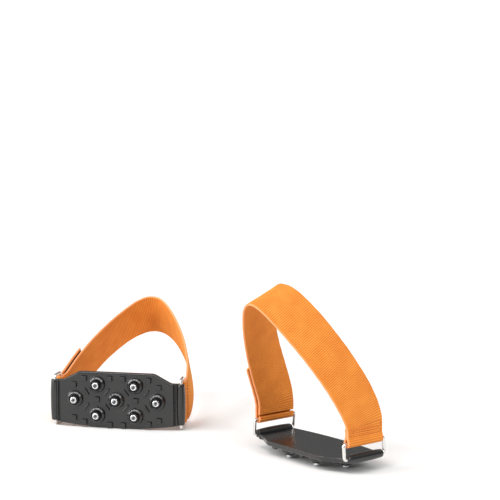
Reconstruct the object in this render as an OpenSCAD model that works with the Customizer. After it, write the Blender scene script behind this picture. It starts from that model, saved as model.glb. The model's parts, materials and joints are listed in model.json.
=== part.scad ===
// A pair of strap-on ice cleats for the middle of a boot's sole.
// Each cleat is a moulded rubber plate with seven steel studs, a wire ring in a roll at each end,
// and an elastic webbing strap that passes over the instep and closes with hook-and-loop.
// One cleat stands on its studs with its toe side along +Y. The other rests on its heel edge,
// toe side up and studs facing out. z = 0 is the ground.

/* [Plate] */
// Distance between the centres of the two end rolls
roll_span = 98; // [92:1:106]
// Thickness of the flat part of the plate
plate_t = 4; // [3.5:0.1:5]
// Toe edge, measured from the line through the rolls
toe_edge = 23.2; // [22:0.1:25]
// Heel edge at the middle, measured from the same line
heel_edge = 19.8; // [19.8:0.1:22]
// Half of the depth at the ends of the plate
end_half = 16.3; // [15.8:0.1:16.4]
// Half of the straight stretch of the toe edge
toe_flat_half = 29; // [26:1:32]
// Distance from the middle at which the toe edge has sloped down to the end's depth
toe_slope_end = 42; // [40:0.5:43]
// Radius that rounds the corners of the outline
corner_r = 4; // [2:0.5:5]
// Outside radius of an end roll at its middle
roll_r = 3.4; // [3.1:0.1:3.6]
// Outside radius of an end roll at its ends
roll_end_r = 2.9; // [2.5:0.1:3]
// Length of an end roll
roll_len = 31.4; // [28:0.2:31.6]
// Width of the crease between a roll and the flat plate
crease_w = 1.4; // [1:0.1:2]
// Depth of that crease
crease_d = 1.1; // [0.5:0.1:1.5]

/* [Tread] */
// How far the tip of a stud stands below the plate
stud_h = 7.5; // [7:0.1:8]
// Radius of the foot of a stud's rubber boss
boss_r = 6.15; // [5.8:0.05:6.4]
// Height of the boss's outer collar
collar_h = 3.5; // [3:0.1:4]
// Height of the boss's inner cone
cone_h = 5.3; // [4.8:0.1:5.6]
// Width of a square lug
lug_w = 4.1; // [3.5:0.1:4.5]
// Height of a square lug
lug_h = 2; // [1.5:0.1:2.5]
// Length of a diagonal bar between two studs
bar_len = 6.3; // [5:0.1:6.6]
// Width of a diagonal bar
bar_w = 1.8; // [1.4:0.1:2]
// Height of a diagonal bar
bar_h = 1.3; // [1:0.1:2]
// Middle of the stud pattern, toward the toe from the line through the rolls
pattern_y = 2.2; // [1.5:0.1:3]

/* [Studs] */
// Radius of a stud's steel head
head_r = 2.5; // [2.3:0.05:2.6]
// Radius of a stud's shank
shank_r = 1.6; // [1.4:0.05:1.8]
// Radius of the flange that anchors a stud in the rubber
flange_r = 3.2; // [2.8:0.1:3.6]
// Radius of the carbide pin
pin_r = 0.95; // [0.8:0.05:1]

/* [Rings] */
// Radius of the ring's wire
wire_r = 1.25; // [1.1:0.05:1.3]
// Length of a ring between the centres of its short sides
ring_len = 37; // [36.8:0.1:38]
// Height of a ring between the centres of its long bars
ring_h = 11; // [10.5:0.1:12]
// Bend radius at the wire's centre
ring_bend = 1.9; // [1.7:0.1:2]
// How far a ring leans in toward the boot, in degrees
ring_lean = 5; // [0:1:8]

/* [Strap] */
// Width of the webbing
web_w = 32.6; // [30:0.1:32.8]
// Thickness of the webbing
web_t = 1.6; // [1.4:0.1:1.8]
// Height of the strap's crown above the plate's underside
crown_h = 116; // [104:1:118]
// How steeply the sides lean toward the toe, as run over rise
toe_lean = 0.6; // [0.3:0.05:0.6]
// How steeply the band lies at the crown, like the instep under it, in degrees
crown_tilt = 20; // [10:1:30]
// How much the band narrows toward the toe, like the boot under it
toe_taper = 0.2; // [0:0.05:0.25]
// How much flatter the sides are than those of an ellipse
side_flatness = 0.28; // [0.1:0.02:0.3]
// Height of the sewn hem's cut end above its ring's upper bar
hem_h = 13; // [12:1:20]
// Height of the closing tab above its ring
tab_h = 46; // [40:1:50]

/* [Pair] */
// Sideways place of the tipped cleat
tipped_x = 164; // [160:1:200]
// Toe-ward place of the tipped cleat
tipped_y = 59; // [50:1:70]
// Turn of the tipped cleat about the upright, in degrees
tipped_turn = 40; // [30:1:45]

/* [Hidden] */
$fn = 48;
fit_gap = 0.06; // radial clearance of a ring's bar in a roll or in a fold of webbing
press = 0.03; // radial interference of a pressed-in piece
peel_gap = 0.35; // between the hook patch and the loop patch
loop_t = 0.7; // thickness of the loop patch
hook_t = 0.9; // thickness of the hook patch
thread = 0.6; // width of a line of stitching
bite = 0.15; // how far a sewn-on piece sinks into the webbing
roll_z = 3.9; // height of a roll's axis above the plate's underside
roll_x = roll_span / 2;
bar_x = roll_x - ring_h * sin(ring_lean); // a ring's upper bar
bar_z = roll_z + ring_h * cos(ring_lean);
fold_r = wire_r + fit_gap + web_t; // outside of webbing folded round a bar
hook_in = web_t / 2 + loop_t + peel_gap; // faces across the closure, from the middle of the strap
tab_in = hook_in + hook_t;
tab_out = tab_in + web_t;
side_h = 8; // the strap's sides rise straight up this far above a bar
eye_h = 5; // the two layers round a bar come together over this height
arch_base = bar_z + side_h;
arch_h = crown_h - arch_base;
side_a = -bar_x - web_t / 2; // the middle of the webbing at the sewn side
side_b = bar_x + fold_r - tab_out; // and at the closing side
half_span = (side_b - side_a) / 2;
mid_x = (side_b + side_a) / 2;
lean_bend = 15; // the height over which an upright side bends into its lean
rise = arch_h * PI / 180; // mm of strap for each degree of the arch near its base
eye_top = (eye_h - side_h) / rise; // angle of the arch at the top of the eye
hem_top = (hem_h - side_h) / rise; // and at the hem's cut end
webbing_foot = eye_top - 0.8; // the layers of webbing start inside the wedge above the bar
tab_top = 180 - asin((tab_h - side_h) / arch_h);
seam_inset = 2.2; // from the webbing's edge to a row of stitching, and on to the next row
seam_end = 1.6; // from the hem's cut end to the nearest row
half_w = web_w / 2;
strap_steps = 60;

// The studs, in order from the sewn side, then the lugs and the slanting bars between the studs
STUDS = [[-31.9, 0], [-14.8, 11.7], [-14.8, -11.7], [0, 0], [14.8, 11.7], [14.8, -11.7], [31.9, 0]];
LUGS = [for (s = [-1, 1]) each [[33 * s, 13], [33 * s, -12.5], [25 * s, 18.2], [25 * s, -15.5],
    [5.2 * s, 18.6], [5.2 * s, -17], [15 * s, pattern_y]]];
SLANTS = [[0, 1], [0, 2], [1, 3], [2, 3], [3, 4], [3, 5], [4, 6], [5, 6]];

function unit(v) = v / norm(v);

// A corner of an outline, rounded to radius r where the lines from p and to s meet at q
function rounded(p, q, s, r, n = 6) =
    let (u = unit(p - q), v = unit(s - q), half = acos(u * v) / 2,
        middle = q + unit(u + v) * r / sin(half),
        from = q + u * r / tan(half) - middle, to = q + v * r / tan(half) - middle)
    [for (i = [0:n]) middle + unit(from * (n - i) / n + to * i / n) * r];

// The line along the middle of the webbing: upright at both sides, a flattened half ellipse above,
// leaning toward the toe as it rises. a runs from 0 at the sewn side to 180 at the closing side.
function lean_at(z) = toe_lean * (sqrt(z * z + lean_bend * lean_bend) - lean_bend);
function line_at(a) =
    a < 0 ? [side_a, 0, arch_base + rise * a]
    : a > 180 ? [side_b, 0, arch_base - rise * (a - 180)]
    : [mid_x - half_span * cos(a) * (1 - side_flatness * pow(sin(a), 2)),
        lean_at(arch_h * sin(a)), arch_base + arch_h * sin(a)];
function along(a) = unit(line_at(a + 0.25) - line_at(a - 0.25));
// The direction across the webbing. The toe-side edge of the loop is the smaller one.
function across(a) =
    let (b = min(max(a, 0), 180), tilt = crown_tilt * pow(sin(b), 2),
        w = [toe_taper * sin(2 * b), cos(tilt), -sin(tilt)], t = along(a))
    unit(w - (w * t) * t);
function outward(a) = cross(along(a), across(a));

// A stretch of the band: from angle a0 to a1, from w0 to w1 across it, from t0 to t1 through it
module band(a0, a1, w0, w1, t0, t1, steps = 16) {
    ring = [for (i = [0:steps])
        let (a = a0 + (a1 - a0) * i / steps, p = line_at(a), w = across(a), n = outward(a))
        each [p + w0 * w + t0 * n, p + w1 * w + t0 * n, p + w1 * w + t1 * n, p + w0 * w + t1 * n]];
    last = 4 * steps;
    sides = [for (i = [0:steps - 1], k = [0:3])
        let (here = 4 * i, next = 4 * i + 4, m = (k + 1) % 4)
        each [[here + k, next + k, here + m], [here + m, next + k, next + m]]];
    polyhedron(ring, concat([[0, 1, 2], [0, 2, 3],
        [last, last + 2, last + 1], [last, last + 3, last + 2]], sides));
}

// A cylinder along the toe direction
module crossbar(r, len) rotate([90, 0, 0]) cylinder(r = r, h = len, center = true);

// Everything one cleat is made of sits in the plate's own frame: z = 0 is its underside
module standing() translate([0, 0, stud_h]) children();
module tipped() translate([tipped_x, tipped_y, heel_edge]) rotate([90, 0, tipped_turn]) children();

module plate_outline() {
    end_x = roll_x - 2;
    toe_right = rounded([0, toe_edge], [toe_flat_half, toe_edge], [toe_slope_end, end_half], corner_r);
    slope_right = rounded([toe_flat_half, toe_edge], [toe_slope_end, end_half], [end_x, end_half], corner_r);
    heel = [for (i = [-8:8]) let (x = -end_x * i / 8)
        [x, -heel_edge + (heel_edge - end_half) * pow(i / 8, 2)]];
    right = concat(toe_right, slope_right, [[end_x, end_half]]);
    left = [for (i = [len(right) - 1:-1:0]) [-right[i][0], right[i][1]]];
    polygon(concat(left, right, heel));
}

module boss() rotate_extrude() polygon([[0, 0.5], [boss_r, 0.5], [boss_r, 0], [boss_r - 0.3, -collar_h + 0.7],
    [boss_r - 0.6, -collar_h + 0.2], [boss_r - 1, -collar_h], [4.4, -collar_h], [3.9, -collar_h + 0.8],
    [3.6, -collar_h + 0.8], [2.9, -cone_h], [0, -cone_h]]);

module stud_body(grow = 0) rotate_extrude() polygon([[0, 2.4 + grow], [flange_r + grow, 2.4 + grow],
    [flange_r + grow, 1.4 - grow], [shank_r + grow, 1.4 - grow], [shank_r + grow, -cone_h], [0, -cone_h]]);

module roll() rotate([90, 0, 0]) rotate_extrude() polygon([[0, -roll_len / 2], [roll_end_r, -roll_len / 2],
    [roll_r, -roll_len / 4], [roll_r, roll_len / 4], [roll_end_r, roll_len / 2], [0, roll_len / 2]]);

module plate() color("#3e3e3d") difference() {
    union() {
        linear_extrude(plate_t) plate_outline();
        for (s = [-1, 1]) translate([s * roll_x, 0, roll_z]) roll();
        for (p = STUDS) translate([p[0], p[1] + pattern_y, 0]) boss();
        for (p = LUGS) translate([p[0], p[1], -lug_h / 2]) cube([lug_w, lug_w, lug_h + 0.2], center = true);
        for (pair = SLANTS) {
            from = STUDS[pair[0]];
            to = STUDS[pair[1]];
            step = to - from;
            translate([(from[0] + to[0]) / 2, (from[1] + to[1]) / 2 + pattern_y, -bar_h / 2])
                rotate(atan2(step[1], step[0])) cube([bar_w, bar_len, bar_h + 0.2], center = true);
        }
    }
    for (s = [-1, 1]) {
        translate([s * roll_x, 0, roll_z]) crossbar(wire_r + fit_gap, roll_len + 2);
        translate([s * (roll_x - roll_r - crease_w / 2), 0, crease_d / 2 - 0.5])
            cube([crease_w, 2 * heel_edge + 2, crease_d + 1], center = true);
    }
    for (p = STUDS) translate([p[0], p[1] + pattern_y, 0]) stud_body(-press);
}

module stud(i) color("#c9cacb") translate([STUDS[i][0], STUDS[i][1] + pattern_y, 0]) difference() {
    union() {
        stud_body();
        rotate_extrude() polygon([[0, -cone_h], [head_r, -cone_h], [head_r, -stud_h + 1],
            [head_r - 0.35, -stud_h + 0.6], [0, -stud_h + 0.6]]);
    }
    translate([0, 0, -stud_h]) cylinder(r = pin_r - press, h = stud_h - 3.6);
}

module carbide_pins() color("#5d5f61") for (p = STUDS)
    translate([p[0], p[1] + pattern_y, -stud_h]) cylinder(r = pin_r, h = stud_h - 3.6);

// A closed rectangle of round wire, with its lower bar at the origin and its long bars along y
module wire_ring() color("#d8d9da") {
    long_bar = ring_len - 2 * ring_bend;
    short_bar = ring_h - 2 * ring_bend;
    for (z = [0, ring_h]) translate([0, 0, z]) crossbar(wire_r, long_bar);
    for (s = [-1, 1]) {
        translate([0, s * ring_len / 2, ring_bend]) cylinder(r = wire_r, h = short_bar);
        translate([0, s * long_bar / 2, ring_bend]) rotate([0, 0, s * 90]) rotate([90, 0, 0])
            rotate([0, 0, -90]) rotate_extrude(angle = 90) translate([ring_bend, 0]) circle(wire_r);
        translate([0, s * long_bar / 2, ring_h - ring_bend]) rotate([0, 0, s * 90]) rotate([90, 0, 0])
            rotate_extrude(angle = 90) translate([ring_bend, 0]) circle(wire_r);
    }
}

module ring_sewn() translate([-roll_x, 0, roll_z]) rotate([0, ring_lean, 0]) wire_ring();
module ring_closing() translate([roll_x, 0, roll_z]) rotate([0, -ring_lean, 0]) wire_ring();

// The webbing from its fold round the sewn ring's bar, over the instep, to just above the closing ring
module strap() color("#f4984a") difference() {
    union() {
        translate([-bar_x, 0, bar_z]) {
            crossbar(fold_r, web_w);
            rotate([90, 0, 0]) linear_extrude(web_w, center = true)
                polygon([[-fold_r * 0.98, 0.5], [-web_t, eye_h], [web_t, eye_h], [fold_r * 0.98, 0.5]]);
        }
        band(webbing_foot, hem_top, -half_w, half_w, -1.5 * web_t, 0, 6);
        band(webbing_foot, 180 + 4.4 / rise, -half_w, half_w, -web_t / 2, web_t / 2, strap_steps);
    }
    translate([-bar_x, 0, bar_z]) crossbar(wire_r + fit_gap, web_w + 2);
}

// A box of stitching between two angles of the arch, with a line across at each end
module stitched_box(a0, a1, inset, t0, t1) {
    edge = half_w - inset;
    for (s = [-1, 1]) band(a0, a1, s * edge - thread / 2, s * edge + thread / 2, t0, t1, 8);
    for (a = [a0, a1 - thread / rise])
        band(a, a + thread / rise, thread - edge, edge - thread, t0, t1, 1);
}

module strap_stitching() color("#e88a3c") {
    for (i = [0, 1]) {
        step = i * seam_inset / rise;
        stitched_box(eye_top + step, hem_top - seam_end / rise - step, (i + 1) * seam_inset,
            web_t / 2 - bite, web_t / 2 + bite);
    }
}

module loop_patch() color("#2b2b2d") band(140, 177, -half_w + 1.5, half_w - 1.5, web_t / 2, web_t / 2 + loop_t, 20);

// The end of the webbing, folded back outside through the closing ring
module tab() color("#f4984a") difference() {
    union() {
        translate([bar_x, 0, bar_z]) crossbar(fold_r, web_w);
        band(tab_top, 180 + 8 / rise, -half_w, half_w, tab_in, tab_out, 20);
    }
    translate([bar_x, 0, bar_z]) crossbar(wire_r + fit_gap, web_w + 2);
}

module hook_patch() color("#1f1f20") band(tab_top + 1, 176, -half_w + 1.5, half_w - 1.5, hook_in, tab_in, 16);

module tab_stitching() color("#e88a3c") stitched_box(tab_top + 2.4, 174.6, 3.4, tab_out - bite, tab_out + bite);

standing() plate();  // standing_plate
standing() stud(0);  // standing_stud_1
standing() stud(1);  // standing_stud_2
standing() stud(2);  // standing_stud_3
standing() stud(3);  // standing_stud_4
standing() stud(4);  // standing_stud_5
standing() stud(5);  // standing_stud_6
standing() stud(6);  // standing_stud_7
standing() carbide_pins();  // standing_carbide_pins
standing() ring_sewn();  // standing_ring_sewn
standing() ring_closing();  // standing_ring_closing
standing() strap();  // standing_strap
standing() strap_stitching();  // standing_strap_stitching
standing() loop_patch();  // standing_loop_patch
standing() tab();  // standing_tab
standing() hook_patch();  // standing_hook_patch
standing() tab_stitching();  // standing_tab_stitching
tipped() plate();  // tipped_plate
tipped() stud(0);  // tipped_stud_1
tipped() stud(1);  // tipped_stud_2
tipped() stud(2);  // tipped_stud_3
tipped() stud(3);  // tipped_stud_4
tipped() stud(4);  // tipped_stud_5
tipped() stud(5);  // tipped_stud_6
tipped() stud(6);  // tipped_stud_7
tipped() carbide_pins();  // tipped_carbide_pins
tipped() ring_sewn();  // tipped_ring_sewn
tipped() ring_closing();  // tipped_ring_closing
tipped() strap();  // tipped_strap
tipped() strap_stitching();  // tipped_strap_stitching
tipped() loop_patch();  // tipped_loop_patch
tipped() tab();  // tipped_tab
tipped() hook_patch();  // tipped_hook_patch
tipped() tab_stitching();  // tipped_tab_stitching
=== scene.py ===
import json
import math
import random

import bmesh
import bpy
from mathutils import Matrix, Vector


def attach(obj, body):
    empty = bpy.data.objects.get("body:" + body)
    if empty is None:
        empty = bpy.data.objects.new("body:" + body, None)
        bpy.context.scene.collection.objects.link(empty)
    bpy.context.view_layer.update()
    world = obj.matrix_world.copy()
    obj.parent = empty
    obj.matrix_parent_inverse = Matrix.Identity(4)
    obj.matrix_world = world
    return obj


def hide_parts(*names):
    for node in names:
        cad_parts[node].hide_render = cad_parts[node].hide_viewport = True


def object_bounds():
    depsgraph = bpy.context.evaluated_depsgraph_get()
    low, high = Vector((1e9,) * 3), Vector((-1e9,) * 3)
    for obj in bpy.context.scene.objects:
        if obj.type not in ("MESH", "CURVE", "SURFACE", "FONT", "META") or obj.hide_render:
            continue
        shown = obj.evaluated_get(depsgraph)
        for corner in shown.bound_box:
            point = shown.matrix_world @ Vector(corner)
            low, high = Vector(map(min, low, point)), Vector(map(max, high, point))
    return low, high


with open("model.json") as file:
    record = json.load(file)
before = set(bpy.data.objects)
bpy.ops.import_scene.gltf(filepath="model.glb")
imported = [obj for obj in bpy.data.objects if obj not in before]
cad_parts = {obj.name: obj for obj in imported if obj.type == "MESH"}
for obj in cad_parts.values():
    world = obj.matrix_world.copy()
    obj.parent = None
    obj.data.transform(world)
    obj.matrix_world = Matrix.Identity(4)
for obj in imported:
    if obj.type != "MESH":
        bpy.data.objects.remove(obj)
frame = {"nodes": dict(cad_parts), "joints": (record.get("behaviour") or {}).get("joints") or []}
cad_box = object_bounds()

MM = 0.001  # lengths below are in millimetres unless a comment says metres
CLEATS = ("standing", "tipped")

ROLL_Z = 3.9  # the rolls' axis above the plate's underside
STUD_H = 7.5  # how far the pins' tips stand below the plate's underside
CONE_H = 5.3  # and the rubber cones round the studs
WEB_W, WEB_T = 32.6, 1.6


# ---------------------------------------------------------------- camera, floor and light

LOOK_ALONG = 231  # degrees; 0 looks along +Y and 90 along -X
LOOK_DOWN = 8.5
CAMERA_FAR = 1.4  # metres
PICTURE_WIDE = 0.350  # metres across the picture at the cleats
SENSOR = 36
AIM_LEFT = 0.0483  # metres from the standing cleat to the middle of the picture
AIM_HIGH = 0.150

azimuth, elevation = math.radians(LOOK_ALONG), math.radians(LOOK_DOWN)
away = Vector((-math.sin(azimuth), math.cos(azimuth), 0))
to_right = Vector((away.y, -away.x, 0))
up = Vector((0, 0, 1))
aim = up * AIM_HIGH - to_right * AIM_LEFT


def put(name, data):
    """Puts a camera, a light or a mesh in the scene."""
    thing = bpy.data.objects.new(name, data)
    bpy.context.scene.collection.objects.link(thing)
    return thing


camera = put("camera", bpy.data.cameras.new("camera"))
look = away * math.cos(elevation) - up * math.sin(elevation)
camera.location = aim - look * CAMERA_FAR
camera.rotation_euler = look.to_track_quat("-Z", "Y").to_euler()
camera.data.sensor_width = SENSOR
camera.data.lens = SENSOR * CAMERA_FAR / PICTURE_WIDE
bpy.context.scene.camera = camera
bpy.context.scene.view_settings.view_transform = "Standard"


def linear(hex_colour):
    """An sRGB hex colour as the linear values that a shader takes."""
    parts = [int(hex_colour[i:i + 2], 16) / 255 for i in (1, 3, 5)]
    return [c / 12.92 if c <= 0.04045 else ((c + 0.055) / 1.055) ** 2.4 for c in parts] + [1.0]


def add(tree, kind, settings=None, **wires):
    """Adds one shader node. settings are its own; wires are its inputs by name, or by i and a number."""
    node = tree.nodes.new("ShaderNode" + kind)
    for key, value in (settings or {}).items():
        setattr(node, key, value)
    for key, value in wires.items():
        socket = node.inputs[int(key[1:])] if key[1:].isdigit() else node.inputs[key.replace("_", " ")]
        if isinstance(value, bpy.types.NodeSocket):
            tree.links.new(value, socket)
        else:
            socket.default_value = value
    return node


def far_softbox(name, side, front, high, strength, wide):
    """A large softbox so far off that it lights the whole floor evenly. It stands this far to the right of
    the cleats, in front of them and above them, and looks this many degrees wide from there."""
    light = bpy.data.lights.new(name, "SUN")
    light.energy = strength
    light.angle = math.radians(wide)
    lamp = put(name, light)
    lamp.location = to_right * side - away * front + up * high
    lamp.rotation_euler = (-lamp.location).to_track_quat("-Z", "Y").to_euler()


# the first five make an arc over the cleats, which each boss mirrors as a light crescent on its collar
far_softbox("left", -0.93, 0.02, 0.3, 0.9, 24)
far_softbox("upper left", -0.75, 0.2, 0.62, 0.9, 22)
far_softbox("overhead", -0.34, 0.41, 0.84, 0.8, 22)
far_softbox("upper right", 0.05, 0.58, 0.8, 0.8, 22)
far_softbox("right", 0.5, 0.68, 0.52, 0.8, 22)
far_softbox("low left", -0.78, 0.6, 0.12, 0.9, 14)


def studio():
    """A white room that is brightest overhead and dimmer toward the horizon."""
    world = bpy.data.worlds.new("studio")
    bpy.context.scene.world = world
    world.use_nodes = True
    tree = world.node_tree
    height = add(tree, "SeparateXYZ", None, Vector=add(tree, "TexCoord").outputs["Generated"])
    glow = add(tree, "MapRange", {"interpolation_type": "SMOOTHSTEP"}, Value=height.outputs["Z"],
               i1=0.0, i2=0.9, i3=0.18, i4=0.6)
    background = tree.nodes["Background"]
    background.inputs["Color"].default_value = linear("#ffffff")
    tree.links.new(glow.outputs[0], background.inputs["Strength"])


studio()


# ---------------------------------------------------------------- materials

def material(name):
    """A new material, its node tree and its shader."""
    made = bpy.data.materials.new(name)
    made.use_nodes = True
    return made, made.node_tree, made.node_tree.nodes["Principled BSDF"]


def per_metre(size_mm):
    """The texture scale that makes a pattern's features this many millimetres, on metre coordinates."""
    return 1 / (size_mm * MM)


def two_tone(tree, amount, first, second):
    """A colour between two hex colours, as a socket."""
    mixed = add(tree, "Mix", {"data_type": "RGBA"}, i0=amount, i6=linear(first), i7=linear(second))
    return mixed.outputs[2]


def moulded_rubber():
    """Black natural rubber from a spark-eroded mould: a satin skin with a fine even grain, a little
    paler where release agent and dust have stayed on it, and scuffed duller in patches."""
    made, tree, shader = material("moulded_rubber")
    place = add(tree, "TexCoord").outputs["Object"]
    grain = add(tree, "TexNoise", None, Vector=place, Scale=per_metre(0.4), Detail=3.0, Roughness=0.6)
    bloom = add(tree, "TexNoise", None, Vector=place, Scale=per_metre(16), Detail=5.0, Roughness=0.6)
    dust = add(tree, "MapRange", None, Value=bloom.outputs["Fac"], i1=0.38, i2=0.68)
    skin = two_tone(tree, dust.outputs[0], "#121213", "#1b1b1a")
    pores = add(tree, "MapRange", None, Value=grain.outputs["Fac"], i1=0.3, i2=0.7, i3=0.8, i4=1.1)
    colour = add(tree, "Mix", {"data_type": "RGBA", "blend_type": "MULTIPLY"}, i0=1.0, i6=skin,
                 i7=pores.outputs[0])
    tree.links.new(colour.outputs[2], shader.inputs["Base Color"])
    dull = add(tree, "MapRange", None, Value=bloom.outputs["Fac"], i1=0.3, i2=0.7, i3=0.2, i4=0.29)
    tree.links.new(dull.outputs[0], shader.inputs["Roughness"])
    shader.inputs["Specular IOR Level"].default_value = 0.68
    bump = add(tree, "Bump", None, Height=grain.outputs["Fac"], Strength=0.2, Distance=0.04 * MM)
    tree.links.new(bump.outputs[0], shader.inputs["Normal"])
    return made


def turned_steel():
    """Zinc-plated steel turned on a lathe: bright, with fine tool rings round the axis."""
    made, tree, shader = material("turned_zinc_plated_steel")
    around = add(tree, "SeparateXYZ", None, Vector=add(tree, "UVMap", {"uv_map": "surface"}).outputs[0])
    ring = add(tree, "Math", {"operation": "MULTIPLY"}, i0=around.outputs["Y"],
               i1=2 * math.pi * per_metre(0.12))
    groove = add(tree, "Math", {"operation": "SINE"}, i0=ring.outputs[0])
    place = add(tree, "TexCoord").outputs["Object"]
    scuff = add(tree, "TexNoise", None, Vector=place, Scale=per_metre(0.5), Detail=5.0, Roughness=0.7)
    rough = add(tree, "MapRange", None, Value=scuff.outputs["Fac"], i3=0.16, i4=0.34)
    bump = add(tree, "Bump", None, Height=groove.outputs[0], Strength=0.12, Distance=0.01 * MM)
    shader.inputs["Base Color"].default_value = linear("#dcdddf")
    shader.inputs["Metallic"].default_value = 1
    tree.links.new(rough.outputs[0], shader.inputs["Roughness"])
    tree.links.new(bump.outputs[0], shader.inputs["Normal"])
    return made


def sintered_carbide():
    """Tungsten carbide as sintered and ground: a dark, dull grey metal with a sugary grain."""
    made, tree, shader = material("sintered_tungsten_carbide")
    place = add(tree, "TexCoord").outputs["Object"]
    grain = add(tree, "TexVoronoi", None, Vector=place, Scale=per_metre(0.15))
    colour = two_tone(tree, grain.outputs["Distance"], "#4a4b4d", "#6a6b6e")
    tree.links.new(colour, shader.inputs["Base Color"])
    bump = add(tree, "Bump", None, Height=grain.outputs["Distance"], Strength=0.4, Distance=0.02 * MM)
    tree.links.new(bump.outputs[0], shader.inputs["Normal"])
    shader.inputs["Metallic"].default_value = 1
    shader.inputs["Roughness"].default_value = 0.42
    return made


def plated_wire():
    """Nickel-plated steel wire, drawn and bent: mirror bright, with faint draw marks and handling haze."""
    made, tree, shader = material("nickel_plated_wire")
    place = add(tree, "TexCoord").outputs["Object"]
    haze = add(tree, "TexNoise", None, Vector=place, Scale=per_metre(1.6), Detail=5.0, Roughness=0.65)
    pits = add(tree, "TexNoise", None, Vector=place, Scale=per_metre(0.25), Detail=2.0)
    rough = add(tree, "MapRange", None, Value=haze.outputs["Fac"], i3=0.08, i4=0.26)
    bump = add(tree, "Bump", None, Height=pits.outputs["Fac"], Strength=0.15, Distance=0.02 * MM)
    shader.inputs["Base Color"].default_value = linear("#e2e1de")
    shader.inputs["Metallic"].default_value = 1
    tree.links.new(rough.outputs[0], shader.inputs["Roughness"])
    tree.links.new(bump.outputs[0], shader.inputs["Normal"])
    return made


RIB = 1.4  # mm along the webbing from one crosswise rib to the next; the real weave may be finer
WALE = 1.0  # mm across the webbing from one lengthwise cord to the next
SELVEDGE = 0.9  # mm of tighter weave along each edge, painted paler there as a painted highlight
STAGGER = 0.12  # of a rib, between one lengthwise cord and the next
RIB_H, BEAD_H = 0.09, 0.07  # mm that the ribs and the bead inside a selvedge stand up


def woven_elastic():
    """Polyester webbing woven over rubber cords: soft crosswise ribs, each broken into short floats by the
    lengthwise cords, with a tighter selvedge and a little fuzz that catches the light. Its colour holds
    painted shade, darker down in the grooves between ribs and cords, and a painted highlight, paler along
    each edge."""
    made, tree, shader = material("woven_elastic_webbing")
    place = add(tree, "SeparateXYZ", None, Vector=add(tree, "UVMap", {"uv_map": "surface"}).outputs[0])
    solid = add(tree, "TexCoord").outputs["Object"]
    cord = add(tree, "Math", {"operation": "MULTIPLY"}, i0=place.outputs["Y"], i1=per_metre(WALE))
    odd = add(tree, "Math", {"operation": "PINGPONG"}, i0=cord.outputs[0], i1=1.0)
    shift = add(tree, "Math", {"operation": "ROUND"}, i0=odd.outputs[0])
    stagger = add(tree, "Math", {"operation": "MULTIPLY"}, i0=shift.outputs[0], i1=STAGGER)
    pick = add(tree, "Math", {"operation": "MULTIPLY_ADD"}, i0=place.outputs["X"], i1=per_metre(RIB),
               i2=stagger.outputs[0])
    turn = add(tree, "Math", {"operation": "MULTIPLY"}, i0=pick.outputs[0], i1=2 * math.pi)
    wave = add(tree, "Math", {"operation": "COSINE"}, i0=turn.outputs[0])
    rib = add(tree, "MapRange", None, Value=wave.outputs[0], i1=-1.0, i2=1.0)
    across = add(tree, "Math", {"operation": "MULTIPLY"}, i0=cord.outputs[0], i1=math.pi)
    between = add(tree, "Math", {"operation": "SINE"}, i0=across.outputs[0])
    column = add(tree, "Math", {"operation": "ABSOLUTE"}, i0=between.outputs[0])
    float_top = add(tree, "MapRange", None, Value=column.outputs[0], i3=0.55, i4=1.0)
    weave = add(tree, "Math", {"operation": "MULTIPLY"}, i0=rib.outputs[0], i1=float_top.outputs[0])
    hairs = add(tree, "TexNoise", None, Vector=solid, Scale=per_metre(0.25), Detail=2.0)
    height = add(tree, "Math", {"operation": "MULTIPLY_ADD"}, i0=hairs.outputs["Fac"], i1=0.4,
                 i2=weave.outputs[0])
    patchy = add(tree, "TexNoise", None, Vector=solid, Scale=per_metre(11), Detail=3.0)
    wear = add(tree, "MapRange", None, Value=patchy.outputs["Fac"], i1=0.3, i2=0.7, i3=-0.15, i4=0.15)
    # painted shade: the colour is darker down in the grooves between ribs and between cords and paler on
    # the rib tops, mixed with random wear patches
    groove_shade_and_wear = add(tree, "Math", {"operation": "ADD"}, i0=weave.outputs[0], i1=wear.outputs[0])
    ground = two_tone(tree, groove_shade_and_wear.outputs[0], "#cf7026", "#f09d42")
    off_middle = add(tree, "Math", {"operation": "ABSOLUTE"}, i0=place.outputs["Y"])
    rim = (WEB_W / 2 - SELVEDGE) * MM
    edge = add(tree, "MapRange", None, Value=off_middle.outputs[0], i1=rim, i2=rim + 0.4 * MM)
    # painted highlight: a paler band along each edge
    colour = add(tree, "Mix", {"data_type": "RGBA"}, i0=edge.outputs[0], i6=ground, i7=linear("#f09c66"))
    tree.links.new(colour.outputs[2], shader.inputs["Base Color"])
    bump = add(tree, "Bump", None, Height=height.outputs[0], Strength=0.7, Distance=0.15 * MM)
    tree.links.new(bump.outputs[0], shader.inputs["Normal"])
    shader.inputs["Roughness"].default_value = 0.8
    shader.inputs["Sheen Weight"].default_value = 0.12
    shader.inputs["Sheen Roughness"].default_value = 0.4
    shader.inputs["Sheen Tint"].default_value = linear("#ffb070")
    shader.inputs["Specular IOR Level"].default_value = 0.25
    return made


def spun_thread():
    """Orange polyester sewing thread: three plies twisted together, with a slight gloss, painted a deeper
    orange than the webbing as painted shade for the shadowed holes its stitches dive into.
    """
    made, tree, shader = material("twisted_polyester_thread")
    place = add(tree, "TexCoord").outputs["Object"]
    fibres = add(tree, "TexNoise", None, Vector=place, Scale=per_metre(0.2), Detail=2.0)
    # painted shade: both tones are darker than the thread's own orange
    colour = two_tone(tree, fibres.outputs["Fac"], "#a94b10", "#cf6a22")
    tree.links.new(colour, shader.inputs["Base Color"])
    shader.inputs["Roughness"].default_value = 0.5
    return made


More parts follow.
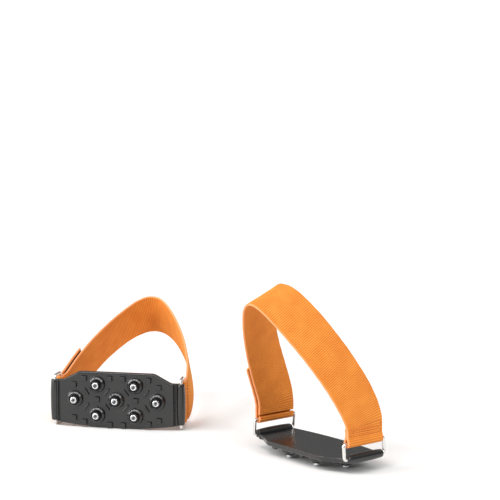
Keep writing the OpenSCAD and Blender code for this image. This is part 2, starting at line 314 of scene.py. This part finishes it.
def brushed_loop_pile():
    """Black nylon loop tape, brushed so that its loops stand up as a matt, mossy pile."""
    made, tree, shader = material("brushed_nylon_loop_tape")
    place = add(tree, "TexCoord").outputs["Object"]
    curls = add(tree, "TexNoise", None, Vector=place, Scale=per_metre(0.5), Detail=5.0, Roughness=0.75,
                Distortion=2.0)
    colour = two_tone(tree, curls.outputs["Fac"], "#0e0e0f", "#3a3a3c")
    tree.links.new(colour, shader.inputs["Base Color"])
    bump = add(tree, "Bump", None, Height=curls.outputs["Fac"], Strength=1.0, Distance=0.3 * MM)
    tree.links.new(bump.outputs[0], shader.inputs["Normal"])
    shader.inputs["Roughness"].default_value = 0.95
    shader.inputs["Sheen Weight"].default_value = 0.3
    return made


def moulded_hook_tape():
    """Black nylon hook tape: rows of small stiff hooks on a ribbed backing."""
    made, tree, shader = material("nylon_hook_tape")
    place = add(tree, "TexCoord").outputs["Object"]
    grain = add(tree, "TexNoise", None, Vector=place, Scale=per_metre(0.4), Detail=2.0)
    colour = two_tone(tree, grain.outputs["Fac"], "#131314", "#242426")
    tree.links.new(colour, shader.inputs["Base Color"])
    bump = add(tree, "Bump", None, Height=grain.outputs["Fac"], Strength=0.3, Distance=0.05 * MM)
    tree.links.new(bump.outputs[0], shader.inputs["Normal"])
    shader.inputs["Roughness"].default_value = 0.5
    return made


def painted_floor():
    """A pale matt studio floor with the faintest mottle."""
    made, tree, shader = material("matt_painted_floor")
    place = add(tree, "TexCoord").outputs["Object"]
    mottle = add(tree, "TexNoise", None, Vector=place, Scale=per_metre(60), Detail=3.0)
    colour = two_tone(tree, mottle.outputs["Fac"], "#f2f2f1", "#f5f5f4")
    tree.links.new(colour, shader.inputs["Base Color"])
    shader.inputs["Roughness"].default_value = 0.85
    return made


RUBBER, STEEL, CARBIDE, WIRE = moulded_rubber(), turned_steel(), sintered_carbide(), plated_wire()
WEBBING, THREAD, LOOPS, HOOKS = woven_elastic(), spun_thread(), brushed_loop_pile(), moulded_hook_tape()


# ---------------------------------------------------------------- each cleat's own frame

pivots = {joint["name"]: joint for joint in frame["joints"]}


class Cleat:
    """One cleat's own frame, in millimetres, from the middle of the plate's underside: x toward the
    closing side, y toward the toe, z toward the boot."""

    def __init__(self, name):
        self.name = name
        sewn = Vector(pivots[f"{name}_sewn_ring_swing"]["pos_m"])
        closing = Vector(pivots[f"{name}_closing_ring_swing"]["pos_m"])
        toe = Vector(pivots[f"{name}_closing_ring_swing"]["axis"]).normalized()
        side = (closing - sewn).normalized()
        boot = side.cross(toe)
        self.place = Matrix((side, toe, boot)).transposed().to_4x4()
        self.place.translation = (sewn + closing) / 2 - boot * ROLL_Z * MM
        self.place = self.place @ Matrix.Scale(MM, 4)
        bar = self.place.inverted() @ Vector(pivots[f"{name}_tab_peel"]["pos_m"])
        self.bar_x, self.bar_z = bar.x, bar.z

    def piece(self, label, body, mesh, finish, replaced=()):
        """Places a mesh made in this frame, attaches it to the body it rides on, and hides the CAD nodes it
        stands in for.
        """
        mesh.transform(self.place)
        made = put(f"{self.name}_{label}", mesh)
        mesh.materials.append(finish)
        for face in mesh.polygons:
            face.use_smooth = True
        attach(made, f"{self.name}_{body}")
        if replaced:
            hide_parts(*[f"{self.name}_{node}" for node in replaced])
        return made


def mesh_from(name, points, faces, surface=None):
    """A mesh, with a UV map in metres if each point has a place on the surface."""
    mesh = bpy.data.meshes.new(name)
    mesh.from_pydata([tuple(p) for p in points], [], faces)
    if surface:
        layer = mesh.uv_layers.new(name="surface")
        for loop in mesh.loops:
            u, v = surface[loop.vertex_index]
            layer.data[loop.index].uv = (u * MM, v * MM)
    mesh.validate()
    return mesh


def outward_faces(mesh):
    """The mesh with doubled points merged and every face turned outward."""
    bm = bmesh.new()
    bm.from_mesh(mesh)
    bmesh.ops.remove_doubles(bm, verts=bm.verts, dist=1e-4)
    bmesh.ops.recalc_face_normals(bm, faces=bm.faces)
    bm.to_mesh(mesh)
    bm.free()
    return mesh


def join_meshes(name, meshes):
    """One mesh of several, each kept as it is."""
    bm = bmesh.new()
    for mesh in meshes:
        bm.from_mesh(mesh)
    mesh = bpy.data.meshes.new(name)
    bm.to_mesh(mesh)
    bm.free()
    return mesh


def ruffle(mesh, most):
    """Roughens a pile's surface by moving its points at random, the same way every time."""
    rng = random.Random(7)
    for vert in mesh.vertices:
        vert.co += Vector([rng.uniform(-most, most) for _ in range(3)])


def lathe(name, profile, steps=48, at=(0, 0), closed=False):
    """A turned piece about z. profile is a list of (radius, height) whose ends lie on the axis, or which
    closes on itself."""
    points, faces, surface = [], [], []
    run = 0
    for i, (r, z) in enumerate(profile):
        if i:
            run += math.dist(profile[i - 1], (r, z))
        for k in range(steps):
            turn = 2 * math.pi * k / steps
            points.append((at[0] + r * math.cos(turn), at[1] + r * math.sin(turn), z))
            surface.append((r * turn, run))
    for i in range(len(profile) if closed else len(profile) - 1):
        following = (i + 1) % len(profile)
        for k in range(steps):
            m = (k + 1) % steps
            faces.append((i * steps + k, i * steps + m, following * steps + m, following * steps + k))
    return outward_faces(mesh_from(name, points, faces, surface))


def rounded(corners, radius, steps=3):
    """A profile with its inner corners rounded. A corner given as (r, z, radius) has its own radius."""
    out = [corners[0][:2]]
    for before, here, after in zip(corners, corners[1:], corners[2:]):
        size = here[2] if len(here) > 2 else radius
        p, q, s = (Vector(c[:2]) for c in (before, here, after))
        size = min(size, (p - q).length * 0.45, (s - q).length * 0.45)
        a, b = q + (p - q).normalized() * size, q + (s - q).normalized() * size
        for i in range(steps + 1):
            t = i / steps
            out.append(tuple(a * (1 - t) ** 2 + q * 2 * t * (1 - t) + b * t * t))
    out.append(corners[-1][:2])
    return out


# ---------------------------------------------------------------- the webbing's line, as in the CAD model

WIRE_R, FIT_GAP = 1.25, 0.06
CROWN_H = 116  # the crown's middle above the plate's underside
TOE_LEAN, LEAN_BEND = 0.6, 15  # toe-ward lean per mm of height, and how gently it starts
CROWN_TILT, TOE_TAPER, SIDE_FLATNESS = 20, 0.2, 0.28
HEM_H, TAB_H = 13, 46  # the cut ends of the sewn hem and of the tab, above their bars
SIDE_H, EYE_H = 8, 5  # the sides rise straight to SIDE_H above a bar; the layers close over EYE_H
CUT_H = 3.1  # the strap's cut end above the closing ring's bar
SEAM_INSET, SEAM_END = 2.2, 1.6  # hem stitching in from the selvedge and from the cut end
TAB_SEAM_INSET, TAB_SEAM_TOP, TAB_SEAM_END = 3.4, 2.4, 174.6  # mm, then degrees along the arch
TAPE_INSET = 1.5  # the tapes' edges in from the selvedge
LOOP_FROM, LOOP_TO, HOOK_TO = 140, 177, 176  # degrees along the arch
LOOP_T, HOOK_T, PEEL_GAP = 0.7, 0.9, 0.35
HOOK_BACKING = 0.6
PILE_RUFFLE = 0.12
TAB_WRAP = 235  # degrees that the tab's fold goes round its bar
HOOK_HIGH = HOOK_T - HOOK_BACKING
HOOK_IN = WEB_T / 2 + LOOP_T + PEEL_GAP
TAB_IN = HOOK_IN + HOOK_T
TAB_OUT = TAB_IN + WEB_T
FOLD_MID = WIRE_R + FIT_GAP + WEB_T / 2  # from a bar's axis to the middle of webbing folded round it


class Band:
    """The arch that the webbing follows, from angle 0 at the sewn side to 180 at the closing side."""

    def __init__(self, cleat):
        self.bar_x, self.bar_z = cleat.bar_x, cleat.bar_z
        self.base = cleat.bar_z + SIDE_H
        self.tall = CROWN_H - self.base
        self.side_a = -cleat.bar_x - WEB_T / 2
        self.side_b = cleat.bar_x + FOLD_MID + WEB_T / 2 - TAB_OUT
        self.half_span = (self.side_b - self.side_a) / 2
        self.mid_x = (self.side_b + self.side_a) / 2
        self.rise = self.tall * math.pi / 180
        self.eye_top = (EYE_H - SIDE_H) / self.rise
        self.hem_top = (HEM_H - SIDE_H) / self.rise
        self.tab_top = 180 - math.degrees(math.asin((TAB_H - SIDE_H) / self.tall))
        self.strap_end = 180 + (SIDE_H - CUT_H) / self.rise

    def line(self, a):
        """The middle of the webbing at angle a; before 0 and after 180 it runs straight down."""
        if a < 0:
            return Vector((self.side_a, 0, self.base + self.rise * a))
        if a > 180:
            return Vector((self.side_b, 0, self.base - self.rise * (a - 180)))
        s, c = math.sin(math.radians(a)), math.cos(math.radians(a))
        x = self.mid_x - self.half_span * c * (1 - SIDE_FLATNESS * s * s)
        lean = TOE_LEAN * (math.hypot(self.tall * s, LEAN_BEND) - LEAN_BEND)
        return Vector((x, lean, self.base + self.tall * s))

    def axes(self, a):
        """(place, direction along, across and outward) at angle a."""
        along = (self.line(a + 0.25) - self.line(a - 0.25)).normalized()
        b = math.radians(min(max(a, 0), 180))
        tilt = math.radians(CROWN_TILT) * math.sin(b) ** 2
        w = Vector((TOE_TAPER * math.sin(2 * b), math.cos(tilt), -math.sin(tilt)))
        across = (w - w.dot(along) * along).normalized()
        return self.line(a), along, across, along.cross(across)

    def run(self, a0, a1, offset, step=0.5):
        """Points and directions across along the arch, this far outside the middle of the webbing."""
        count = max(2, int(abs(a1 - a0) / step))
        out = []
        for i in range(count + 1):
            p, _, w, n = self.axes(a0 + (a1 - a0) * i / count)
            out.append((p + n * offset, w))
        return out


def smooth(t):
    """An eased step from 0 to 1."""
    t = min(max(t, 0), 1)
    return t * t * (3 - 2 * t)


def resampled(track, step):
    """The track again, with stations this far apart: (place, across, distance along)."""
    lengths = [0]
    for (p, _), (q, _) in zip(track, track[1:]):
        lengths.append(lengths[-1] + (q - p).length)
    count = max(2, round(lengths[-1] / step))
    out, j = [], 0
    for i in range(count + 1):
        s = lengths[-1] * i / count
        while j < len(lengths) - 2 and lengths[j + 1] < s:
            j += 1
        t = (s - lengths[j]) / max(lengths[j + 1] - lengths[j], 1e-9)
        (p, v), (q, w) = track[j], track[j + 1]
        out.append((p.lerp(q, t), v.lerp(w, t).normalized(), s))
    return out


def webbing(name, track, width, thick, step=RIB / 4, ribbed=True, columns=26):
    """A band along a track, and its stations: a flat section with round edges. Webbing also has real ribs,
    a bead inside each selvedge and a slightly uneven width."""
    stations = resampled(track, step)
    half = width / 2
    edge_r = thick / 2
    section = []  # (across, through, whether it's on an edge) round the band
    for i in range(columns + 1):
        section.append((-half + edge_r + (width - thick) * i / columns, edge_r, 0))
    for k in range(1, 6):
        turn = math.pi / 2 - math.pi * k / 6
        section.append((half - edge_r + edge_r * math.cos(turn), edge_r * math.sin(turn), 1))
    for i in range(columns, -1, -1):
        section.append((-half + edge_r + (width - thick) * i / columns, -edge_r, 0))
    for k in range(1, 6):
        turn = -math.pi / 2 - math.pi * k / 6
        section.append((-half + edge_r + edge_r * math.cos(turn), edge_r * math.sin(turn), 1))
    size = len(section)
    points, surface, faces = [], [], []
    last = len(stations) - 1
    for i, (p, w, s) in enumerate(stations):
        before, after = stations[max(i - 1, 0)][0], stations[min(i + 1, last)][0]
        along = (after - before).normalized()
        w = (w - w.dot(along) * along).normalized()
        n = along.cross(w)
        end = min(s, stations[-1][2] - s)
        shrink = min(1.0, 0.75 + end * 0.5)  # the cut ends are sealed thin
        rib = RIB_H * math.cos(2 * math.pi * s / RIB) if ribbed else 0
        wander = 0.10 * math.sin(s / 2.3) * math.sin(s / 5.1 + 1) + 0.08 * math.sin(s / 17)
        uneven = wander if ribbed else 0
        for v, t, rim in section:
            inset = half - abs(v)
            bead = BEAD_H * math.exp(-((inset - 1.1) / 0.6) ** 2) if ribbed else 0
            fade = smooth(inset / 2.2) if ribbed else 0
            sign = 1 if t > 0 else -1
            swell = (rib * fade + bead) * sign * (0 if rim else 1)
            points.append(p + w * (v + uneven * v / half) + n * (t * shrink + swell))
            surface.append((s, v))
    for i in range(last):
        for k in range(size):
            a, b = i * size + k, i * size + (k + 1) % size
            faces.append((a, b, b + size, a + size))
    faces.append(tuple(range(size)))
    faces.append(tuple(last * size + k for k in reversed(range(size))))
    return outward_faces(mesh_from(name, points, faces, surface)), stations


def strap_track(band):
    """From the sewn end of the webbing, down inside, round the sewn ring's bar, and over to the closing
    side."""
    bar = Vector((-band.bar_x, 0, band.bar_z))
    toe = Vector((0, 1, 0))
    track = band.run(band.hem_top, band.eye_top, -WEB_T)
    eye = []
    for i in range(1, 25):
        t = i / 24
        off = WEB_T / 2 + (FOLD_MID - WEB_T / 2) * smooth(t)
        eye.append((off, EYE_H * (1 - t)))
    track += [(bar + Vector((off, 0, z)), toe) for off, z in eye]
    for i in range(1, 24):
        turn = math.pi * i / 24
        track.append((bar + Vector((FOLD_MID * math.cos(turn), 0, -FOLD_MID * math.sin(turn))), toe))
    track += [(bar + Vector((-off, 0, z)), toe) for off, z in reversed(eye)]
    track += band.run(band.eye_top, band.strap_end, 0)
    return track


def tab_track(band):
    """From the loose end of the webbing, down outside, and round the closing ring's bar."""
    bar = Vector((band.bar_x, 0, band.bar_z))
    toe = Vector((0, 1, 0))
    track = band.run(band.tab_top, 180 + SIDE_H / band.rise, (TAB_IN + TAB_OUT) / 2)
    for i in range(1, 33):
        turn = math.radians(TAB_WRAP) * i / 32
        track.append((bar + Vector((FOLD_MID * math.cos(turn), 0, -FOLD_MID * math.sin(turn))), toe))
    return track


def seam(name, band, rows, offset, out=1):
    """Thread along rows of stitching: arched stitches whose ends dive into the webbing.
    A row is ((angle, across), (angle, across))."""
    pitch, length, thick, rise, buried = 2.4, 1.8, 0.26, 0.26, 0.1
    sides, joints = 6, 6
    points, faces = [], []
    for (a0, v0), (a1, v1) in rows:
        count = max(1, int(math.hypot((a1 - a0) * band.rise, v1 - v0) / pitch))
        for i in range(count):
            start = len(points)
            for j in range(joints + 1):
                t = (i + 0.5 + (j / joints - 0.5) * length / pitch) / count
                arch = math.sin(math.pi * j / joints)
                p, along, w, n = band.axes(a0 + (a1 - a0) * t)
                centre = p + w * (v0 + (v1 - v0) * t) + n * out * (offset - buried + rise * arch)
                run = (along * (a1 - a0) * band.rise + w * (v1 - v0)).normalized()
                side = run.cross(n).normalized()
                r = thick * (0.45 + 0.55 * arch)
                for k in range(sides):
                    turn = 2 * math.pi * k / sides
                    points.append(centre + side * r * math.cos(turn) + n * r * math.sin(turn))
            for j in range(joints):
                for k in range(sides):
                    a, b = start + j * sides + k, start + j * sides + (k + 1) % sides
                    faces.append((a, b, b + sides, a + sides))
            faces.append(tuple(start + k for k in reversed(range(sides))))
            faces.append(tuple(start + joints * sides + k for k in range(sides)))
    return outward_faces(mesh_from(name, points, faces))


def box_rows(a0, a1, edge):
    """A sewn box: along both sides and across both ends."""
    corners = [(a0, -edge), (a1, -edge), (a1, edge), (a0, edge)]
    return list(zip(corners, corners[1:] + corners[:1]))


def hooks(name, band):
    """Rows of small moulded hooks on the face of the hook tape that meets the loops."""
    pitch, corners = 1.3, ((-1, -1), (1, -1), (1, 1), (-1, 1))
    foot_half, tip_half = (0.16, 0.12), (0.26, 0.18)  # along and across the tape
    points, faces = [], []
    rows = int((HOOK_TO - band.tab_top - 2) * band.rise / pitch)
    wide = int((WEB_W - 5) / pitch)
    for i in range(rows):
        a = band.tab_top + 1.6 + i * pitch / band.rise
        p, along, w, n = band.axes(a)
        for j in range(wide + 1):
            foot = p + w * (j - wide / 2) * pitch + n * (HOOK_IN + HOOK_HIGH)
            lean = along * (0.18 if (i + j) % 2 else -0.18)
            start = len(points)
            for u, v in corners:
                points.append(foot + along * foot_half[0] * u + w * foot_half[1] * v)
            for u, v in corners:
                points.append(foot + lean - n * HOOK_HIGH + along * tip_half[0] * u + w * tip_half[1] * v)
            faces.append(tuple(start + k for k in (4, 5, 6, 7)))
            for k in range(4):
                faces.append((start + k, start + (k + 1) % 4, start + 4 + (k + 1) % 4, start + 4 + k))
    return outward_faces(mesh_from(name, points, faces))


# ---------------------------------------------------------------- the moulded plate

PLATE_T, TOE_EDGE, HEEL_EDGE, END_HALF = 4, 23.2, 19.8, 16.3
TOE_FLAT_HALF, TOE_SLOPE_END = 29, 42  # where the toe edge starts and stops sloping, from the middle
ROLL_X, ROLL_R, ROLL_END_R, ROLL_LEN = 49, 3.4, 2.9, 31.4
CREASE_W, CREASE_D = 1.4, 1.1
RISE_FROM, RISE_OVER, RISE_H = 45.9, 1.8, 1.6  # the underside's step up into a roll
BOSS_R, COLLAR_H, HEAD_R = 6.15, 3.5, 2.5
LUG_WIDE, LUG_H = 4.2, 2.0
BAR_WIDE, BAR_LONG, BAR_H = 1.9, 6.3, 1.3
PATTERN_Y = 2.2  # the studs' pattern toward the toe from the rolls' middle
STUDS = [(-31.9, 0), (-14.8, 11.7), (-14.8, -11.7), (0, 0), (14.8, 11.7), (14.8, -11.7), (31.9, 0)]
LUGS = [(33, 13), (33, -12.5), (25, 18.2), (25, -15.5), (5.2, 18.6), (5.2, -17), (15, PATTERN_Y)]
# each slanting bar lies midway between two studs, given by their places in STUDS
SLANTS = [(0, 1), (0, 2), (1, 3), (2, 3), (3, 4), (3, 5), (4, 6), (5, 6)]


def toe_edge(x):
    """The plate's edge toward the toe: straight in the middle, sloping down to the ends, corners eased."""
    total = 0
    for k in range(-3, 4):
        along_slope = (abs(x) + k * 0.5 - TOE_FLAT_HALF) / (TOE_SLOPE_END - TOE_FLAT_HALF)
        total += TOE_EDGE - (TOE_EDGE - END_HALF) * min(max(along_slope, 0), 1)
    return total / 7


def heel_edge(x):
    """The plate's edge toward the heel, bowed outward."""
    return -HEEL_EDGE + (HEEL_EDGE - END_HALF) * (x / (ROLL_X - 2)) ** 2


def underside(x):
    """Height of the plate's underside: flat, a rounded crease before each roll, then up into the roll."""
    x = abs(x)
    off_crease = abs(x - (ROLL_X - ROLL_R - CREASE_W / 2))
    crease = CREASE_D * smooth((CREASE_W / 2 + 0.25 - off_crease) / 0.7)
    return crease + RISE_H * smooth((x - RISE_FROM) / RISE_OVER)


def slab():
    """The flat of the plate, swept from end to end, with its moulded edges rounded."""
    end = ROLL_X - 1.6  # hidden in the rolls
    step = 0.35
    low_r, high_r = 1.3, 0.7  # rounding of the lower and the upper edges
    points, faces = [], []
    count = round(2 * end / step)
    for i in range(count + 1):
        x = -end + 2 * end * i / count
        toe, heel, low = toe_edge(x), heel_edge(x), underside(x)
        loop = [(heel + low_r, low), ((toe + heel) / 2, low)]
        edges = ((toe - low_r, low + low_r, low_r, -90), (toe - high_r, PLATE_T - high_r, high_r, 0),
                 (heel + high_r, PLATE_T - high_r, high_r, 90), (heel + low_r, low + low_r, low_r, 180))
        for middle, height, r, start in edges:
            for k in range(5):
                turn = math.radians(start + 90 * k / 4)
                loop.append((middle + r * math.cos(turn), height + r * math.sin(turn)))
        loop.pop()  # the last point is the first again
        points += [(x, y, z) for y, z in loop]
    size = len(points) // (count + 1)
    for i in range(count):
        for k in range(size):
            a, b = i * size + k, i * size + (k + 1) % size
            faces.append((a, b, b + size, a + size))
    faces.append(tuple(range(size)))
    faces.append(tuple(count * size + k for k in range(size)))
    return outward_faces(mesh_from("slab", points, faces))


def roll(side):
    """The roll at one end that a ring's bar runs through: a slim barrel with eased ends."""
    bore, half, ease = WIRE_R + FIT_GAP, ROLL_LEN / 2, 0.7
    profile = [(bore, -half + 0.15), (bore + 0.15, -half), (ROLL_END_R - ease, -half),
               (ROLL_END_R - 0.25, -half + 0.2), (ROLL_END_R, -half + ease)]
    for i in range(1, 24):
        y = (-1 + i / 12) * (half - ease)
        profile.append((ROLL_R - (ROLL_R - ROLL_END_R) * abs(y / (half - ease)) ** 2.4, y))
    profile += [(r, -y) for r, y in reversed(profile[:5])]
    mesh = lathe("roll", profile, closed=True)
    lie_down = Matrix.Rotation(math.radians(90), 4, "X")
    mesh.transform(Matrix.Translation((side * ROLL_X, 0, ROLL_Z)) @ lie_down)
    return mesh


def boss(x, y):
    """A stud's rubber boss: a filleted foot, a rounded collar, a moat, and a cone round the stud."""
    foot, moat = BOSS_R + 0.9, -COLLAR_H + 1.0
    profile = rounded([(0, 0.6), (foot, 0.6), (foot, 0.02), (BOSS_R, -0.03, 0.8),
                       (BOSS_R - 0.3, -2.3, 0.35), (4.3, -COLLAR_H, 0.5), (3.9, moat, 0.3),
                       (3.5, moat, 0.3), (2.95, -CONE_H, 0.3), (2.4, -CONE_H, 0.1), (0, -CONE_H)], 0.2, 5)
    return lathe("boss", profile, at=(x, y))


def tread_block(x, y, long, wide, high, turn=0):
    """A small moulded block on the underside, drafted to leave its mould and with its edges eased."""
    draft, sunk, ease = 0.35, 0.4, 0.38
    bm = bmesh.new()
    bmesh.ops.create_cube(bm, size=1)
    for vert in bm.verts:
        low = vert.co.z < 0
        shrink = draft if low else 0
        vert.co.x *= long - shrink
        vert.co.y *= wide - shrink
        vert.co.z = -high if low else sunk
    bmesh.ops.bevel(bm, geom=bm.edges[:], offset=ease, segments=3, profile=0.5, affect="EDGES")
    mesh = bpy.data.meshes.new("block")
    bm.to_mesh(mesh)
    bm.free()
    mesh.transform(Matrix.Translation((x, y, 0)) @ Matrix.Rotation(turn, 4, "Z"))
    return mesh


def moulded_plate():
    """The whole plate: slab, rolls, bosses, square lugs and slanting bars."""
    parts = [slab(), roll(-1), roll(1)]
    for x, y in STUDS:
        parts.append(boss(x, y + PATTERN_Y))
    for x, y in LUGS:
        parts += [tread_block(side * x, y, LUG_WIDE, LUG_WIDE, LUG_H) for side in (-1, 1)]
    for first, second in SLANTS:
        (x0, y0), (x1, y1) = STUDS[first], STUDS[second]
        turn = math.atan2(y1 - y0, x1 - x0)
        middle = (y0 + y1) / 2 + PATTERN_Y
        parts.append(tread_block((x0 + x1) / 2, middle, BAR_WIDE, BAR_LONG, BAR_H, turn))
    return join_meshes("plate", parts)


# ---------------------------------------------------------------- the studs

# from the flange inside the rubber down to the dished head, and the pin that stands out of it
stud_profile = rounded([(0, 2.4), (3.2, 2.4), (3.2, 1.4), (1.6, 1.4), (1.6, -CONE_H), (HEAD_R, -CONE_H),
                        (HEAD_R, -6.55, 0.5), (2.1, -6.9, 0.2), (1.45, -6.9, 0.15), (1.15, -6.5, 0.1),
                        (0.9, -6.5), (0, -6.5)], 0.08)
pin_profile = rounded([(0, -3.6), (0.93, -3.6), (0.93, -7.2, 0.15), (0.6, -STUD_H, 0.2), (0, -STUD_H)], 0.1)


# ---------------------------------------------------------------- the two cleats

for name in CLEATS:
    cleat = Cleat(name)
    band = Band(cleat)

    plate = cleat.piece("moulded_plate", "base", moulded_plate(), RUBBER, ["plate"])
    even = plate.modifiers.new("even shading", "WEIGHTED_NORMAL")
    even.keep_sharp = True

    for i, (x, y) in enumerate(STUDS, 1):
        mesh = lathe("stud", stud_profile, at=(x, y + PATTERN_Y))
        cleat.piece(f"turned_stud_{i}", "base", mesh, STEEL, [f"stud_{i}"])
    pins = join_meshes("pins", [lathe("pin", pin_profile, 24, (x, y + PATTERN_Y)) for x, y in STUDS])
    cleat.piece("ground_pins", "base", pins, CARBIDE, ["carbide_pins"])

    for ring in ("ring_sewn", "ring_closing"):
        node = frame["nodes"][f"{name}_{ring}"]
        node.data.materials.clear()
        node.data.materials.append(WIRE)

    mesh, stations = webbing("strap", strap_track(band), WEB_W, WEB_T)
    strap = cleat.piece("elastic_strap", "strap", mesh, WEBBING, ["strap"])
    rows = []
    for i in (0, 1):
        step = i * SEAM_INSET / band.rise
        top = band.hem_top - SEAM_END / band.rise - step
        rows += box_rows(band.eye_top + step, top, WEB_W / 2 - (i + 1) * SEAM_INSET)
    outside, inside = seam("out", band, rows, WEB_T / 2), seam("in", band, rows, 1.5 * WEB_T, -1)
    sewn = join_meshes("sewn", [outside, inside])
    hem_seam = cleat.piece("hem_seam", "strap", sewn, THREAD, ["strap_stitching"])

    track = band.run(LOOP_FROM, LOOP_TO, WEB_T / 2 + LOOP_T / 2)
    mesh, _ = webbing("loop", track, WEB_W - 2 * TAPE_INSET, LOOP_T, 0.6, False, 40)
    ruffle(mesh, PILE_RUFFLE)
    cleat.piece("loop_tape", "strap", mesh, LOOPS, ["loop_patch"])

    mesh, stations = webbing("tab", tab_track(band), WEB_W, WEB_T)
    tab = cleat.piece("webbing_tab", "tab", mesh, WEBBING, ["tab"])
    track = band.run(band.tab_top + 1, HOOK_TO, HOOK_IN + HOOK_HIGH + HOOK_BACKING / 2)
    backing, _ = webbing("hook", track, WEB_W - 2 * TAPE_INSET, HOOK_BACKING, 0.8, False, 20)
    hook_tape = join_meshes("hook tape", [backing, hooks("hooks", band)])
    cleat.piece("hook_tape", "tab", hook_tape, HOOKS, ["hook_patch"])
    rows = box_rows(band.tab_top + TAB_SEAM_TOP, TAB_SEAM_END, WEB_W / 2 - TAB_SEAM_INSET)
    sewn = seam("tab seam", band, rows, TAB_OUT)
    tab_seam = cleat.piece("tab_seam", "tab", sewn, THREAD, ["tab_stitching"])


# ---------------------------------------------------------------- the floor

FLOOR_WIDE = 90  # metres, so that its edge is out of sight at the horizon

bpy.ops.mesh.primitive_plane_add(size=FLOOR_WIDE, location=(0, 0, cad_box[0][2]))
floor = bpy.context.object
floor.name = "floor"
floor.data.materials.append(painted_floor())
